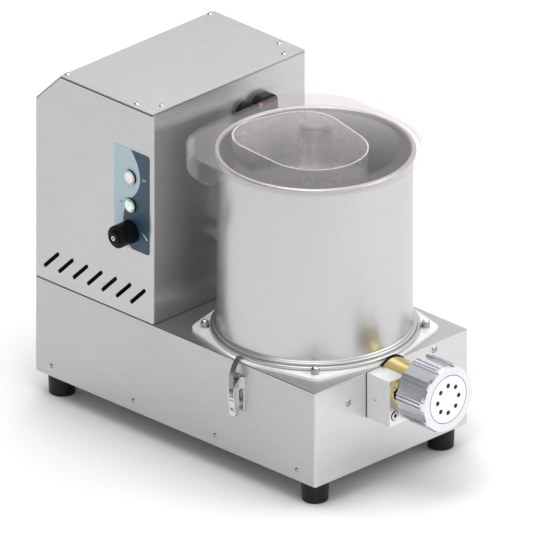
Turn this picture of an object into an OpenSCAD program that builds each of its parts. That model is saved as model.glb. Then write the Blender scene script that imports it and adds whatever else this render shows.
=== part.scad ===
// Electric pasta maker: a steel base with a drive tower at the back, a round
// bowl with a clear lid, and an extruding head with a die and a ring nut.
// The front, where the pasta comes out, faces -Y. The controls face -X.

/* [Base] */
// Height of the base box without its feet
base_height = 125; // [115:1:160]
// Distance from the bowl's ring to the nearest side of the base
side_margin = 2.6; // [2:0.1:5]
// Distance from the tower to the round of the base's width about the bowl
tower_clearance = 16; // [13:0.5:30]
// Thickness of the sheet steel
sheet = 1.5; // [1:0.1:2.2]
// Radius of the bent upright edges
edge_radius = 3; // [2.6:0.1:6]
// Thickness of the bottom plate
bottom_plate_thickness = 2; // [1.5:0.1:4]

/* [Feet] */
// Height of each foot
foot_height = 29.5; // [15:0.5:50]
// Diameter of each foot at the top
foot_diameter = 34.5; // [24:0.5:38]
// Distance from a foot's axis to the two nearest faces
foot_inset = 23.2; // [21:0.1:40]
// Narrowing of a foot's radius towards the floor
foot_taper = 1.2; // [0.4:0.1:4]

/* [Tower] */
// Length of the tower from front to back
tower_length = 201; // [190:1:230]
// Height of the tower above the base
tower_height = 280; // [262:1:340]
// Depth of the slope at the top of the back
tower_chamfer = 44; // [20:1:60]
// Shadow gap between the tower and the base
seam_gap = 1.2; // [0.4:0.1:3]
// Width of the folded flanges that carry the cover
tower_flange = 14; // [12:0.5:20]

/* [Vents] */
// Number of slots in each side of the tower
vent_count = 7; // [1:1:7]
// Length of a slot along its slant
vent_length = 36; // [20:1:40]
// Width of a slot
vent_width = 5; // [3:0.5:7]
// Spacing of the slots along the side
vent_pitch = 24.5; // [18:0.5:25]
// Distance from the back of the tower to the first slot
vent_inset = 28.3; // [24:0.1:30]
// Height of the slots' centres above the base
vent_rise = 30; // [27:0.5:45]

/* [Bowl] */
// Outer radius of the bowl's wall
bowl_radius = 118.5; // [117:0.5:130]
// Thickness of the bowl's wall and floor
bowl_sheet = 1.5; // [1:0.1:2.5]
// Height of the rim above the base
rim_height = 241.7; // [225:0.1:255]
// Radius of the rolled rim
rim_bead = 3.5; // [2:0.1:4]
// Step from the wall out to the ring that the bowl stands on
bowl_ring_step = 8.9; // [8:0.1:10]
// Radius of the lower bead round the bowl's foot
bowl_low_bead = 2.65; // [2.2:0.05:3]
// Radius of the bead above it
bowl_high_bead = 2.5; // [2.2:0.1:3]
// Height of the bowl's floor above the base
bowl_floor_height = 12; // [10:0.1:13]

/* [Bowl flange] */
// Thickness of the flange plate
flange_thickness = 3.5; // [2:0.1:4]
// Distance that the flange plate reaches past the bowl's ring
flange_margin = 1.6; // [1:0.1:1.9]
// Distance that a flange corner reaches past the bowl's ring
flange_corner_reach = 20.6; // [17:0.1:24]
// Radius of a flange corner
flange_corner_radius = 14; // [9:0.5:18]
// Radius of a domed nut on the flange
flange_screw_head = 5.2; // [4:0.1:6]

/* [Kneading tub] */
// Thickness of the tub's wall
tub_sheet = 1.2; // [0.8:0.1:2]
// Radius of the tub's round front
tub_radius = 64; // [63.6:0.1:65]
// Radius of the kneading trough
trough_radius = 61; // [59.5:0.5:61.5]
// Width of the slot through which the dough reaches the auger
intake_width = 22; // [16:1:25]
// Length of that slot
intake_length = 84; // [60:1:90]

/* [Lid] */
// Thickness of the lid's plate
lid_thickness = 3; // [2:0.1:4]
// Thickness of the lid's skirts
lid_wall = 2.6; // [2:0.1:4]
// Distance that the lid reaches past the bowl's wall
lid_overhang = 12.5; // [10:0.5:13]
// Distance that the lid reaches behind the round of the base's width
lid_back_margin = 2.4; // [0:0.1:3.5]
// Radius of the lid's back corners
lid_corner_radius = 75; // [62:1:80]
// Depth of the front skirt below the rim
lid_front_drop = 4.8; // [2:0.1:10]
// Depth of the back skirt below the rim
lid_back_drop = 24; // [18:0.1:35]
// Distance from the bowl's axis to the start of the deep skirt
lid_skirt_start = 61; // [50:1:70]
// Radius of the sweep from the deep skirt up to the front skirt
lid_sweep = 40; // [36:1:46]
// Rise of the shallow dome in the lid
lid_dome_rise = 9.6; // [5:0.2:16]
// Radius of that dome's edge
lid_dome_radius = 104; // [85:1:108]
// Radius of the lid's knob
lid_knob_radius = 21.5; // [15:0.5:28]
// Height of the lid's knob
lid_knob_height = 21; // [16:0.5:30]

/* [Extruding head] */
// Depth of the auger's axis below the top of the base
auger_drop = 18.2; // [17.8:0.2:24]
// Radius of the bore in the barrel
barrel_bore = 13.6; // [12.8:0.1:13.8]
// Distance that the auger's flight advances in one turn
auger_pitch = 32; // [24:1:40]
// Radius of the barrel's neck in front of the base
neck_radius = 25; // [24:0.5:26]
// Distance from the base to the front face of the ring nut
nut_reach = 96.5; // [92:0.5:120]
// Length of the ring nut
nut_length = 48; // [40:0.5:50]
// Radius of the ring nut
nut_radius = 42.7; // [41:0.1:50]
// Thickness of the ring nut's wall at a grip rib
nut_wall = 8.4; // [7:0.1:9]
// Number of grip ribs round the ring nut
nut_pads = 10; // [6:1:12]
// Thickness of the ring nut's front lip
nut_lip = 5; // [3:0.1:7]
// Radius of the die's visible face
die_face_radius = 30.2; // [28:0.1:31]
// Thickness of the die's flange
die_flange = 6; // [4:0.1:8]
// Radius of the circle of holes in the die
die_hole_circle = 17.8; // [15:0.1:20]
// Number of holes in the die
die_holes = 8; // [4:1:10]
// Radius of a hole's wide front
die_hole_radius = 3; // [2:0.1:3.5]
// Radius of the shaping hole behind it
die_nozzle_radius = 1.4; // [0.8:0.1:1.6]

/* [Head bracket] */
// Distance from the auger's axis to the bracket's left face
bracket_reach = 43; // [42.5:0.5:50]
// Distance from the base to the bracket's front face
bracket_depth = 40; // [34:0.5:41]
// Height of the bracket
bracket_height = 60; // [56:0.5:70]
// Radius of the brass collar in the bracket
collar_radius = 36; // [34:0.5:36.5]
// Thickness of the brass collar
collar_thickness = 12; // [9:0.5:14]

/* [Drive] */
// Pitch diameter of a gear for each of its teeth
gear_module = 3; // [2.8:0.05:3.2]
// Teeth on the auger's gear and on the mixer's gear
gear_teeth = 32; // [32:2:34]
// Teeth on the motor's pinion
pinion_teeth = 16; // [14:1:20]
// Width of the gears
gear_width = 16; // [10:1:18]
// Play between meshed teeth along the pitch circle
gear_backlash = 0.8; // [0.6:0.1:1]
// Radius of the auger's and the mixer's shafts
shaft_radius = 8; // [6:0.5:9]
// Radius of the motor's shaft
motor_shaft_radius = 6; // [5:0.5:7]
// Radius of the motor
motor_radius = 46; // [35:1:60]
// Length of the motor
motor_length = 110; // [80:1:120]
// Reach of the mixing arms from their axis
mixer_reach = 57; // [45:0.5:57.5]

/* [Controls] */
// Width of the control label
label_width = 59.6; // [50:0.2:66]
// Height of the control label
label_height = 131; // [125:1:160]
// Thickness of the control label
label_thickness = 0.5; // [0.3:0.1:1]
// Distance from the front of the tower to the label
label_inset = 5.9; // [3:0.1:10]
// Height of the label's lower edge above the base
label_rise = 90; // [80:1:95]
// Height of the off button above the base
off_rise = 184.9; // [172:0.1:200]
// Height of the on button above the base
on_rise = 147.6; // [142:0.1:156]
// Height of the speed knob above the base
knob_rise = 113; // [108:0.2:118]
// Distance from the front of the tower to the controls' axes
control_inset = 37.3; // [30:0.1:42]
// Radius of a button's bezel
bezel_radius = 9.6; // [9.4:0.1:12]
// Radius of a button's cap
button_radius = 6.9; // [5:0.1:7]
// Travel of a button
button_travel = 2; // [1:0.1:3]
// Radius of the speed knob
knob_radius = 14.2; // [12:0.2:16]
// Distance that the speed knob stands out of the tower
knob_reach = 31; // [24:0.5:36]

/* [Latches] */
// Width of a latch's hook
hook_width = 7; // [5:0.5:9]
// Thickness of the hook's strap
hook_thickness = 2; // [1.5:0.1:2.2]
// Distance from the base's side to the pivot of the latch's lever
lever_pivot_out = 6.5; // [6.1:0.1:8]
// Depth of that pivot below the top of the base
lever_pivot_drop = 25; // [23:0.5:30]
// Distance from the lever's pivot to the hook's pin
hook_pin_arm = 12; // [11:0.5:13]
// Length of the lever from its pivot to its free end
lever_length = 40; // [38:1:52]
// Thickness of the latch's metal
latch_sheet = 1.5; // [1.2:0.1:1.8]

/* [Hidden] */
$fn = 96;

// Clearances: between moving pieces, in a running fit, round a fixed piece,
// and the overrun of a cut
clearance = 0.3;
running_fit = 0.05;
snug = 0.02;
over = 1;

// Overall places
bowl_ring_radius = bowl_radius + bowl_ring_step;
side_x = bowl_ring_radius + side_margin;
base_length = tower_length + tower_clearance + 2 * side_x;
base_front = -base_length / 2;
base_back = base_length / 2;
base_top = foot_height + base_height;
bowl_y = base_front + side_x;
tower_front = base_back - tower_length;
tower_top = base_top + tower_height;
auger_z = base_top - auger_drop;
foot_x = side_x - foot_inset;
foot_y = base_length / 2 - foot_inset;
floor_z = foot_height + bottom_plate_thickness;

// Base: openings in its top, and the place of the cable's inlet
opening_ledge = 5;
flange_opening = bowl_radius - bowl_sheet - opening_ledge;
base_opening = flange_opening - opening_ledge;
gland_x = -72;
gland_rise = 42;
gland_thread = 9.8;
gland_bore = 4.2;
gland_nut = 13.5;
gland_nut_height = 7;
gland_dome_height = 9;
gland_grip = 7;
gland_reach = gland_nut_height + gland_dome_height;

// Screws: head and shank radius, head height, and socket
small_head = 3.9;
small_head_height = 2.2;
small_shank = 1.9;
side_head = 3.2;
side_head_height = 1.2;
front_head = 4.8;
front_head_height = 1.8;
screw_grip = 6;
flange_nut_collar = 4.8;
socket_share = 0.5;
flange_shank = 2.5;
flange_screw_radius = bowl_ring_radius + flange_screw_head + clearance;
side_screw_rise = 13.7;
side_screw_inset = 28.3;
side_screw_pitch = 139;
front_screw_places = [
    [-73.7, -30.7],
    [73.1, -8]
];
cover_screw_edge = 8.6;
cover_screw_side_y = 47;
cover_screw_pitch = 118;
cover_screw_front_x = 104;
cover_screw_front_y = 10.7;
cover_seam = 0.6;
slope_share = sqrt(2);
skirt_height = 8;

// Bowl and tub
bead_blend = 0.3;
tub_base = bowl_floor_height + bowl_sheet;
tub_hem = 3;
tub_hem_step = 0.8;
tub_faces = 72;
tub_left_shares = [-0.156, 0.938, 0.784];
tub_right_shares = [0.431, 0.781, 0.761];
mixer_rise = gear_module * gear_teeth - auger_drop;
mixer_z = base_top + mixer_rise;
sleeve_radius = 14;
sleeve_flange_radius = 20;
sleeve_flange = 4;

// Lid
lid_radius = bowl_radius + lid_overhang;
lid_back = side_x + lid_back_margin;
lid_base = rim_height + clearance;
lid_top = lid_base + lid_thickness;
dome_sphere = (lid_dome_radius * lid_dome_radius + lid_dome_rise * lid_dome_rise)
    / (2 * lid_dome_rise);
knob_seat = 0.6;
knob_seat_margin = 1.5;
knob_wall = 2.4;
knob_round = 6;
interlock_gap = 2.6;
interlock_depth = tower_clearance - lid_back_margin - interlock_gap;
interlock_x = 36.7;
interlock_left_width = 26;
interlock_right_width = 35;
interlock_left_step = 1;
interlock_height = 46;
interlock_top = 248;
interlock_round = 13;
lens_radius = 3;
lens_height = 1.6;
lens_drop = 9.3;

// Extruding head, measured forwards from the front of the base
gasket_thickness = 1.2;
gasket_rim = 1.6;
barrel_radius = auger_drop - sheet - clearance;
auger_radius = barrel_bore - clearance;
auger_core = 7.5;
auger_blade = 7;
auger_faces = 12;
auger_steps_per_turn = 12;
saddle_wall = 4;
barrel_tail = 18;
barrel_back = bowl_y + intake_length / 2 + barrel_tail;
nut_back = nut_reach - nut_length;
nut_bore = nut_radius - nut_wall;
thread_radius = nut_bore - clearance;
thread_inset = 3;
thread_start = nut_back + thread_inset;
barrel_end = nut_reach - nut_lip - die_flange - 2 * clearance;
chamber_radius = 21.5;
chamber_depth = 13;
auger_overrun = 4;
auger_end = barrel_end - chamber_depth + auger_overrun;
neck_slot_x = 4;
neck_slot_width = 4;
neck_slot_length = 11;
neck_slot_depth = 4;
collar_proud = 5;
collar_front = bracket_depth + collar_proud;
collar_drop = 3;
lug_radius = 8;
lug_x = -33.5;
lug_z = 1.5;
cap_head = 5.4;
cap_head_height = 5;
cap_sink = 4;
cap_gap = 1.1;
cap_shank = 3;
cap_grip = 7;
bracket_screw_x = 34.4;
bracket_screw_z = -47.2;
set_hole_radius = 1.2;
set_hole_depth = 3;
set_hole_front = 14.7;
set_hole_drop = 32.4;
nut_facet_depth = 4.2;
nut_lobe = 1.8;
nut_rim = 6;
rib_width = 10;
groove_width = 2.4;
groove_depth = 2.4;
groove_spread = 2.6;
groove_turn = -3;
nut_chamfer = 1.6;
die_nozzle_depth = 3;
bearing_flange_radius = 22;
bearing_length = 14;
bearing_flange = 6;

// Drive, placed behind the tower's front wall
frame_setback = 34;
frame_thickness = 8;
frame_front = tower_front + frame_setback;
frame_back = frame_front + frame_thickness;
gear_gap = 2;
gear_front = frame_front - gear_gap - gear_width;
gear_pitch_radius = gear_module * gear_teeth / 2;
pinion_pitch_radius = gear_module * pinion_teeth / 2;
motor_z = mixer_z + gear_pitch_radius + pinion_pitch_radius;
pressure_angle = 20;
addendum_share = 0.9;
dedendum_share = 1.25;
flank_steps = 4;
gear_tip = gear_pitch_radius + addendum_share * gear_module;
drive_opening_margin = 14;
drive_opening_half = gear_tip + drive_opening_margin;
frame_side = 6;
frame_half = gear_tip + frame_side;
frame_top_margin = 8;
frame_foot = 22;
shaft_proud = 5;
motor_cap_radius = 38;
motor_cap_length = 10;
motor_shaft_depth = 18;
board_width = 96;
board_height = 112;
board_thickness = 1.6;
board_rise = 80;
board_inset = 70;
standoff_length = 9;
standoff_radius = 3;
board_edge = 7;
board_part = 16;
arm_count = 4;
arm_width = 10;
arm_thickness = 6;
paddle_length = 24;
paddle_height = 12;
paddle_turn = 25;
mixer_front_gap = 7;
paddle_gap = 2;

// Controls
control_y = tower_front + control_inset;
bezel_height = 2.6;
button_proud = 4.4;
button_depth = 6;
bezel_wall = 1.5;
bezel_depth = 18;
bezel_bore = button_radius + running_fit;
bezel_body = bezel_bore + bezel_wall;
light_inset = 0.7;
light_inner = bezel_body - light_inset;
light_width = 1.1;
light_height = 0.5;
light_seat = 0.3;
knob_gap = 1.2;
knob_step = 4.5;
knob_front_radius = 9;
knob_front_depth = 0.8;
knob_chamfer = 1.2;
insert_radius = 3;
insert_height = 0.6;
pointer_width = 1.2;
pointer_length = 3.5;
knob_shaft = 3;
bush_radius = 4.6;
control_body = 12;
control_depth = 15;
label_corner = 4;

// Latches, seen from the side: [distance out of the side, height above the base]
tip_bottom = flange_thickness + clearance;
lever_pivot = [lever_pivot_out, -lever_pivot_drop];
pin_lean = 14;
hook_pin = lever_pivot + hook_pin_arm * [sin(pin_lean), -cos(pin_lean)];
hook_bulge = [12.5, -20];
hook_tip_lift = 0.4;
hook_tip = [0, tip_bottom + hook_thickness / 2 + hook_tip_lift];
hook_grip = 3.6;
hook_eye = 3;
pin_radius = 1.6;
lever_eye = 3.9;
ear_reach = 4;
ear_half = 8;
latch_plate_half = 12;
latch_plate_top = -17;
latch_plate_bottom = -60;
plate_slot_y = 4;
plate_slot_width = 1.8;
plate_slot_length = 16;
plate_slot_drop = 48;
lever_lean = 2;
lever_tip_radius = 3;
lever_web_gap = 3.6;
// Windows in the lever: [depth below the pivot, height]
lever_windows = [
    [23.2, 2],
    [36.1, 3.6]
];
hook_centre = circle_centre(hook_pin, hook_bulge, hook_tip);
hook_arc = norm(hook_tip - hook_centre);

// Middle of the whole part, which stands over the origin
box_left = -side_x - knob_reach;
box_right = side_x + lever_pivot_out + lever_eye + 2 * latch_sheet;
box_front = base_front - nut_reach;
box_back = base_back + gland_reach;
box_mid = [(box_left + box_right) / 2, (box_front + box_back) / 2, 0];

// Reach that keeps a paddle centred at y off the tub's round front
function paddle_reach(y) =
    let (
        edge = min(y - paddle_length / 2 - arm_thickness / 2, 0),
        inner = tub_radius - tub_sheet
    )
    min(mixer_reach, sqrt(inner * inner - edge * edge) - paddle_gap);

// Centre of the circle through three points
function circle_centre(a, b, c) =
    let (
        d = 2 * (a[0] * (b[1] - c[1]) + b[0] * (c[1] - a[1]) + c[0] * (a[1] - b[1])),
        x = (a * a * (b[1] - c[1]) + b * b * (c[1] - a[1]) + c * c * (a[1] - b[1])) / d,
        y = (a * a * (c[0] - b[0]) + b * b * (a[0] - c[0]) + c * c * (b[0] - a[0])) / d
    )
    [x, y];

function polar(radius, angle) = radius * [cos(angle), sin(angle)];

// Angle between an involute's start and its point at a radius
function involute_angle(base, radius) =
    let (turn = acos(base / radius)) tan(turn) * 180 / PI - turn;

// Radii along a tooth's flank, from its foot to its tip
function flank_radii(foot, tip) =
    [for (i = [0:flank_steps]) foot + (tip - foot) * i / flank_steps];

// Outline of an involute gear with one tooth centred at the angle start
function gear_points(teeth, start) =
    let (
        pitch = gear_module * teeth / 2,
        base = pitch * cos(pressure_angle),
        root = pitch - dedendum_share * gear_module,
        tip = pitch + addendum_share * gear_module,
        foot = max(base, root),
        width = (PI * gear_module - gear_backlash) / 2,
        half = width / (2 * pitch) * 180 / PI + involute_angle(base, pitch),
        radii = flank_radii(foot, tip),
        last = len(radii) - 1
    )
    [for (tooth = [0:teeth - 1])
        let (middle = start + tooth * 360 / teeth)
        each concat(
            [polar(root, middle - half)],
            [for (r = radii) polar(r, middle - half + involute_angle(base, r))],
            [for (i = [0:last]) polar(radii[last - i],
                middle + half - involute_angle(base, radii[last - i]))],
            [polar(root, middle + half)]
        )];

module in_frame() {
    translate(-box_mid)
        children();
}

// Bowl's axis at the top of the base
module at_bowl() {
    in_frame()
        translate([0, bowl_y, base_top])
            children();
}

// Lies along the forward direction: local Z points to the front, local Y up
module forwards(y, z) {
    translate([0, y, z])
        rotate([90, 0, 0])
            children();
}

// Extruding head: local Z is the distance in front of the base
module at_head() {
    in_frame()
        forwards(base_front, auger_z)
            children();
}

// Left side of the tower: local Z points out of the wall, local X up
module at_control(rise) {
    in_frame()
        translate([-side_x, control_y, base_top + rise])
            rotate([0, -90, 0])
                children();
}

// Side of the base at the bowl: local X points outwards, local Z up
module at_latch(side) {
    in_frame()
        translate([side * side_x, bowl_y, base_top])
            mirror([side < 0 ? 1 : 0, 0, 0])
                children();
}

module rounded_rectangle(width, length, radius) {
    x = width / 2 - radius;
    y = length / 2 - radius;
    square([width, 2 * y], center = true);
    square([2 * x, length], center = true);
    for (place = [[-x, -y], [x, -y], [-x, y], [x, y]])
        translate(place)
            circle(r = radius);
}

// Two circles and the straight sides that join them
module belt(a, ra, b, rb) {
    along = atan2(b[1] - a[1], b[0] - a[0]);
    swing = acos((ra - rb) / norm(b - a));
    translate(a)
        circle(r = ra);
    translate(b)
        circle(r = rb);
    polygon([
        a + polar(ra, along + swing),
        a + polar(ra, along - swing),
        b + polar(rb, along - swing),
        b + polar(rb, along + swing)
    ]);
}

// Flat shape drawn from the side, extruded along Y about the middle
module across(width) {
    rotate([90, 0, 0])
        linear_extrude(height = width, center = true)
            children();
}

// Flat shape with X forwards-back and Y up, extruded along X about the middle
module sideways(width) {
    rotate([90, 0, 90])
        linear_extrude(height = width, center = true)
            children();
}

// Domed screw with a hexagon socket: its head stands on z = 0
module dome_screw(head, height, shank, grip) {
    dome = (head * head + height * height) / (2 * height);
    difference() {
        intersection() {
            translate([0, 0, height - dome])
                sphere(r = dome);
            cylinder(r = head, h = height);
        }
        translate([0, 0, height * socket_share])
            cylinder(r = head * socket_share, h = height, $fn = 6);
    }
    translate([0, 0, -grip])
        cylinder(r = shank, h = grip);
}

// Cap screw whose head sits in a counterbore below the face at z = 0
module cap_screw() {
    translate([0, 0, -cap_sink]) {
        difference() {
            cylinder(r = cap_head, h = cap_head_height);
            translate([0, 0, cap_head_height * socket_share])
                cylinder(r = cap_head * socket_share, h = cap_head_height, $fn = 6);
        }
        translate([0, 0, -cap_grip])
            cylinder(r = cap_shank, h = cap_grip);
    }
}

module cap_seat() {
    translate([0, 0, -cap_sink])
        cylinder(r = cap_head + cap_gap, h = cap_sink + over);
    translate([0, 0, -cap_sink - cap_grip - snug])
        cylinder(r = cap_shank + snug, h = cap_sink + cap_grip);
}

// Base
module base_outline(inset) {
    rounded_rectangle(2 * (side_x - inset), base_length - 2 * inset, edge_radius - inset);
}

// Children at each screw of one side of the base, pointing out of the left side
module side_screw_places() {
    for (i = [0:3])
        translate([
            -side_x,
            base_back - side_screw_inset - i * side_screw_pitch,
            foot_height + side_screw_rise
        ])
            rotate([0, -90, 0])
                children();
}

module front_screw_at() {
    for (place = front_screw_places)
        translate([place[0], base_front, base_top + place[1]])
            rotate([90, 0, 0])
                children();
}

module both_sides() {
    children();
    mirror([1, 0, 0])
        children();
}

module flange_screw_at() {
    for (turn = [45:90:315])
        rotate([0, 0, turn])
            translate([flange_screw_radius, 0, 0])
                children();
}

module base_housing() {
    hole = screw_grip + over;
    color("gainsboro") in_frame() difference() {
        translate([0, 0, foot_height])
            linear_extrude(height = base_height)
                base_outline(0);
        translate([0, 0, foot_height - over])
            linear_extrude(height = base_height - sheet + over)
                base_outline(sheet);
        translate([0, bowl_y, base_top - sheet - over])
            cylinder(r = base_opening, h = sheet + 2 * over);
        translate([-drive_opening_half, gear_front - drive_opening_margin / 2, base_top - sheet - over])
            cube([
                2 * drive_opening_half,
                frame_back - gear_front + frame_foot + drive_opening_margin,
                sheet + 2 * over
            ]);
        forwards(base_front + sheet + over, auger_z)
            cylinder(r = barrel_radius + clearance, h = sheet + 2 * over);
        translate([gland_x, base_back + over, foot_height + gland_rise])
            rotate([90, 0, 0])
                cylinder(r = gland_thread + snug, h = sheet + 2 * over);
        both_sides() side_screw_places()
            translate([0, 0, -hole])
                cylinder(r = small_shank + snug, h = hole + over);
        front_screw_at()
            translate([0, 0, -hole])
                cylinder(r = small_shank + snug, h = hole + over);
        translate([0, bowl_y, base_top - hole])
            flange_screw_at()
                cylinder(r = flange_shank + snug, h = hole + over);
    }
}

module bottom_plate() {
    color("silver") in_frame()
        translate([0, 0, foot_height])
            linear_extrude(height = bottom_plate_thickness)
                base_outline(sheet + snug);
}

module foot(side, end) {
    top = foot_diameter / 2;
    bottom = top - foot_taper;
    edge = foot_taper;
    color("dimgray") in_frame()
        translate([side * foot_x, end * foot_y, 0])
            rotate_extrude()
                polygon([
                    [0, 0],
                    [bottom - edge, 0],
                    [bottom, edge],
                    [top, foot_height - edge],
                    [top, foot_height],
                    [0, foot_height]
                ]);
}

module foot_front_left() {
    foot(-1, -1);
}

module foot_front_right() {
    foot(1, -1);
}

module foot_back_left() {
    foot(-1, 1);
}

module foot_back_right() {
    foot(1, 1);
}

// Tower
module tower_outline(inset) {
    translate([0, base_back - tower_length / 2])
        rounded_rectangle(2 * (side_x - inset), tower_length - 2 * inset, edge_radius - inset);
}

// Side view of the tower below a cover that is lowered by a drop
module tower_profile(drop) {
    fold = drop * (slope_share - 1);
    polygon([
        [tower_front - over, base_top],
        [base_back + over, base_top],
        [base_back + over, tower_top - tower_chamfer - drop * slope_share - over],
        [base_back - tower_chamfer - fold, tower_top - drop],
        [tower_front - over, tower_top - drop]
    ]);
}

module stadium(length, width, angle) {
    reach = polar((length - width) / 2, angle);
    belt(-reach, width / 2, reach, width / 2);
}

module vent_cuts() {
    for (i = [0:vent_count - 1])
        translate([0, base_back - vent_inset - i * vent_pitch, base_top + vent_rise])
            sideways(2 * side_x + 2 * over)
                stadium(vent_length, vent_width, 135);
}

// Screws along one edge of the cover, then the ones near its front edge
module cover_screw_at() {
    cover_y = base_back - cover_screw_side_y;
    for (i = [0:1])
        translate([-side_x + cover_screw_edge, cover_y - i * cover_screw_pitch, tower_top])
            children();
    translate([-cover_screw_front_x, tower_front + cover_screw_front_y, tower_top])
        children();
}

module tower_shell() {
    shell_top = sheet + cover_seam;
    window = 2 * (side_x - sheet - tower_flange);
    window_front = tower_front + sheet + 2 * tower_flange;
    color("lightgray") in_frame() difference() {
        union() {
            difference() {
                intersection() {
                    translate([0, 0, base_top + seam_gap])
                        linear_extrude(height = tower_height - seam_gap)
                            tower_outline(0);
                    sideways(2 * side_x + 2 * over)
                        tower_profile(shell_top);
                }
                intersection() {
                    translate([0, 0, base_top])
                        linear_extrude(height = tower_height)
                            tower_outline(sheet);
                    sideways(2 * side_x + 2 * over)
                        tower_profile(shell_top + sheet);
                }
                translate([-window / 2, window_front, tower_top - tower_chamfer - shell_top])
                    cube([window, tower_length, tower_chamfer + shell_top]);
            }
            translate([0, 0, base_top])
                linear_extrude(height = skirt_height)
                    difference() {
                        tower_outline(sheet);
                        tower_outline(2 * sheet);
                    }
        }
        vent_cuts();
        for (rise = [off_rise, on_rise])
            translate([-side_x - over, control_y, base_top + rise])
                rotate([0, 90, 0])
                    cylinder(r = bezel_body + snug, h = sheet + 2 * over);
        translate([-side_x - over, control_y, base_top + knob_rise])
            rotate([0, 90, 0])
                cylinder(r = bush_radius + snug, h = sheet + 2 * over);
        forwards(tower_front + sheet + over, mixer_z)
            cylinder(r = shaft_radius + clearance, h = sheet + 2 * over);
        both_sides() cover_screw_at()
            translate([0, 0, -screw_grip - over])
                cylinder(r = small_shank + snug, h = screw_grip + over);
    }
}

module top_cover() {
    color("whitesmoke") in_frame() difference() {
        intersection() {
            translate([0, 0, base_top])
                linear_extrude(height = tower_height)
                    tower_outline(0);
            sideways(2 * side_x + 2 * over)
                difference() {
                    tower_profile(0);
                    tower_profile(sheet);
                    translate([tower_front - 2 * over, 0])
                        square([
                            tower_length + 4 * over,
                            tower_top - tower_chamfer - sheet * slope_share
                        ]);
                }
        }
        both_sides() cover_screw_at()
            translate([0, 0, -sheet - over])
                cylinder(r = small_shank + snug, h = sheet + 2 * over);
    }
}

module cover_screws() {
    color("silver") in_frame()
        both_sides() cover_screw_at()
            dome_screw(small_head, small_head_height, small_shank, screw_grip - sheet);
}

module side_screws() {
    color("silver") in_frame() {
        both_sides() side_screw_places()
            dome_screw(side_head, side_head_height, small_shank, screw_grip);
        front_screw_at()
            dome_screw(front_head, front_head_height, small_shank, screw_grip);
    }
}

// Controls
module control_label() {
    middle = label_rise + label_height / 2;
    offset_y = tower_front + label_inset + label_width / 2 - control_y;
    color("slategray") at_control(0) difference() {
        linear_extrude(height = label_thickness)
            translate([middle, offset_y])
                rounded_rectangle(label_height, label_width, label_corner);
        for (rise = [off_rise, on_rise])
            translate([rise, 0, -over])
                cylinder(r = bezel_body + snug, h = label_thickness + 2 * over);
        translate([knob_rise, 0, -over])
            cylinder(r = bush_radius + snug, h = label_thickness + 2 * over);
    }
}

module bezel() {
    flange_top = label_thickness + bezel_height;
    difference() {
        union() {
            translate([0, 0, -bezel_depth])
                cylinder(r = bezel_body, h = bezel_depth + label_thickness);
            translate([0, 0, label_thickness])
                cylinder(r1 = bezel_radius, r2 = bezel_radius - knob_front_depth, h = bezel_height);
        }
        translate([0, 0, -bezel_depth + bezel_wall])
            cylinder(r = bezel_bore, h = bezel_depth + flange_top + over);
    }
}

module button() {
    cap_top = label_thickness + button_proud;
    stem = bezel_depth - bezel_wall - button_depth - button_travel - clearance;
    dome = 4 * button_radius;
    intersection() {
        translate([0, 0, -button_depth])
            cylinder(r = button_radius, h = button_depth + cap_top);
        translate([0, 0, cap_top - dome])
            sphere(r = dome);
    }
    translate([0, 0, -button_depth - stem])
        cylinder(r = button_radius * socket_share, h = stem);
}

module off_bezel() {
    color("silver") at_control(off_rise)
        bezel();
}

module off_button() {
    color("white") at_control(off_rise)
        button();
}

module on_bezel() {
    seat = label_thickness + bezel_height - light_seat;
    color("silver") at_control(on_rise) difference() {
        bezel();
        translate([0, 0, seat])
            difference() {
                cylinder(r = light_inner + light_width + snug, h = light_seat + over);
                translate([0, 0, -over])
                    cylinder(r = light_inner - snug, h = light_seat + 3 * over);
            }
    }
}

module on_button() {
    color("gainsboro") at_control(on_rise)
        button();
}

module on_light_ring() {
    seat = label_thickness + bezel_height - light_seat;
    color("mediumseagreen") at_control(on_rise)
        translate([0, 0, seat])
            difference() {
                cylinder(r = light_inner + light_width, h = light_height);
                translate([0, 0, -over])
                    cylinder(r = light_inner, h = light_height + 2 * over);
            }
}

module speed_knob() {
    back = label_thickness + knob_gap;
    shoulder = knob_reach - knob_step;
    color("black") at_control(knob_rise) {
        difference() {
            rotate_extrude()
                polygon([
                    [0, back],
                    [knob_radius, back],
                    [knob_radius, shoulder - knob_chamfer],
                    [knob_radius - knob_chamfer, shoulder],
                    [knob_front_radius + knob_chamfer, shoulder],
                    [knob_front_radius, shoulder + knob_chamfer],
                    [knob_front_radius, knob_reach - knob_chamfer],
                    [knob_front_radius - knob_chamfer, knob_reach],
                    [insert_radius + snug, knob_reach],
                    [insert_radius + snug, knob_reach - knob_front_depth],
                    [0, knob_reach - knob_front_depth]
                ]);
            translate([knob_radius - pointer_length, -pointer_width / 2, shoulder - knob_front_depth])
                cube([pointer_length + over, pointer_width, knob_step]);
        }
        translate([0, 0, -control_depth + knob_gap])
            cylinder(r = knob_shaft, h = control_depth + back - knob_gap);
    }
}

module knob_insert() {
    color("silver") at_control(knob_rise)
        translate([0, 0, knob_reach - knob_front_depth])
            cylinder(r = insert_radius, h = insert_height);
}

module speed_control() {
    color("dimgray") at_control(knob_rise) difference() {
        union() {
            translate([0, 0, -control_depth - sheet])
                cylinder(r = control_body, h = control_depth);
            translate([0, 0, -sheet])
                cylinder(r = bush_radius, h = sheet + label_thickness);
        }
        translate([0, 0, -control_depth + knob_gap - clearance])
            cylinder(r = knob_shaft + running_fit, h = control_depth + label_thickness);
    }
}

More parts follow.
